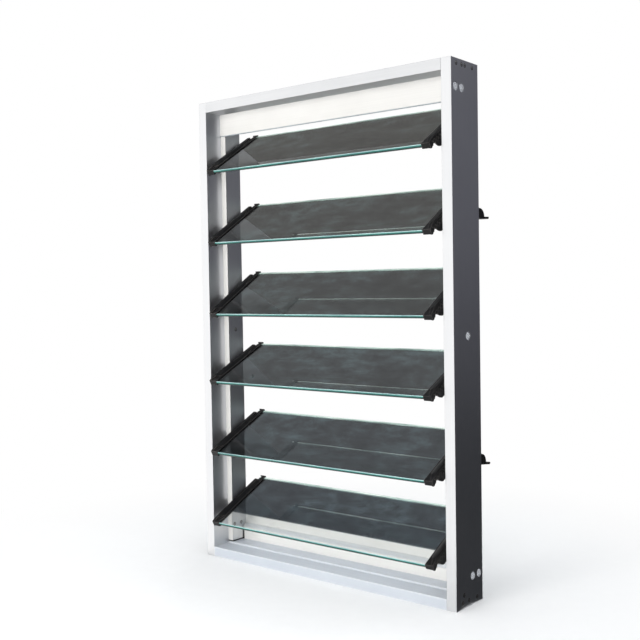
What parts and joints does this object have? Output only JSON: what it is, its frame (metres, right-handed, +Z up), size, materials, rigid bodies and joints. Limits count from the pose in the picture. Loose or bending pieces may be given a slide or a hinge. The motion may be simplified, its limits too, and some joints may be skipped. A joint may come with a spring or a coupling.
{
  "type": "jalousie window",
  "caption": "Aluminium-framed jalousie window: glass louvre blades in black end clips turn in side galleries, worked by lever handles, to open or close to the air.",
  "frame": {"origin": "centre of the sill's underside, at the middle of the frame's width and depth", "axes": "+X along the blades to the right seen from the weather side, +Y from the weather side to the room, +Z up"},
  "size_m": [0.57, 0.1971, 0.89],
  "materials": {
    "frame_aluminium": "satin silver anodised extrusion",
    "blade_glass": "polished float glass, grey tinted, with green ground edges",
    "clip_plastic": "black moulded plastic, lightly worn",
    "cap_plastic": "pale moulded plastic plug"
  },
  "bodies": {
    "frame": {"left_jamb": "frame_aluminium", "right_jamb": "frame_aluminium", "head": "frame_aluminium", "head_fascia": "frame_aluminium", "sill": "frame_aluminium", "sill_upstand": "frame_aluminium", "left_gallery": "frame_aluminium", "right_gallery": "frame_aluminium", "left_hole_caps": "cap_plastic", "right_hole_caps": "cap_plastic"},
    "blade_1": {"glass_blade_1": "blade_glass", "left_clip_1": "clip_plastic", "right_clip_1": "clip_plastic"},
    "blade_2": {"glass_blade_2": "blade_glass", "left_clip_2": "clip_plastic", "right_clip_2": "clip_plastic", "upper_handle": "clip_plastic"},
    "blade_3": {"glass_blade_3": "blade_glass", "left_clip_3": "clip_plastic", "right_clip_3": "clip_plastic"},
    "blade_4": {"glass_blade_4": "blade_glass", "left_clip_4": "clip_plastic", "right_clip_4": "clip_plastic"},
    "blade_5": {"glass_blade_5": "blade_glass", "left_clip_5": "clip_plastic", "right_clip_5": "clip_plastic", "lower_handle": "clip_plastic"},
    "blade_6": {"glass_blade_6": "blade_glass", "left_clip_6": "clip_plastic", "right_clip_6": "clip_plastic"}
  },
  "joints": [
    {"name": "blade_1_turn", "type": "hinge", "parent": "frame", "child": "blade_1", "pos_m": [0, 0.01175, 0.7925], "axis": [1, 0, 0], "range_deg": [-32, 50]},
    {"name": "blade_2_turn", "type": "hinge", "parent": "frame", "child": "blade_2", "pos_m": [0, 0.01175, 0.6548], "axis": [1, 0, 0], "range_deg": [-32, 50]},
    {"name": "blade_3_turn", "type": "hinge", "parent": "frame", "child": "blade_3", "pos_m": [0, 0.01175, 0.5171], "axis": [1, 0, 0], "range_deg": [-32, 50]},
    {"name": "blade_4_turn", "type": "hinge", "parent": "frame", "child": "blade_4", "pos_m": [0, 0.01175, 0.3794], "axis": [1, 0, 0], "range_deg": [-26, 56]},
    {"name": "blade_5_turn", "type": "hinge", "parent": "frame", "child": "blade_5", "pos_m": [0, 0.01175, 0.2417], "axis": [1, 0, 0], "range_deg": [-26, 56]},
    {"name": "blade_6_turn", "type": "hinge", "parent": "frame", "child": "blade_6", "pos_m": [0, 0.01175, 0.104], "axis": [1, 0, 0], "range_deg": [-26, 56]}
  ],
  "couplings": [
    {"joint": "blade_1_turn", "follows": "blade_2_turn", "ratio": 1},
    {"joint": "blade_3_turn", "follows": "blade_2_turn", "ratio": 1},
    {"joint": "blade_4_turn", "follows": "blade_5_turn", "ratio": 1},
    {"joint": "blade_6_turn", "follows": "blade_5_turn", "ratio": 1}
  ]
}
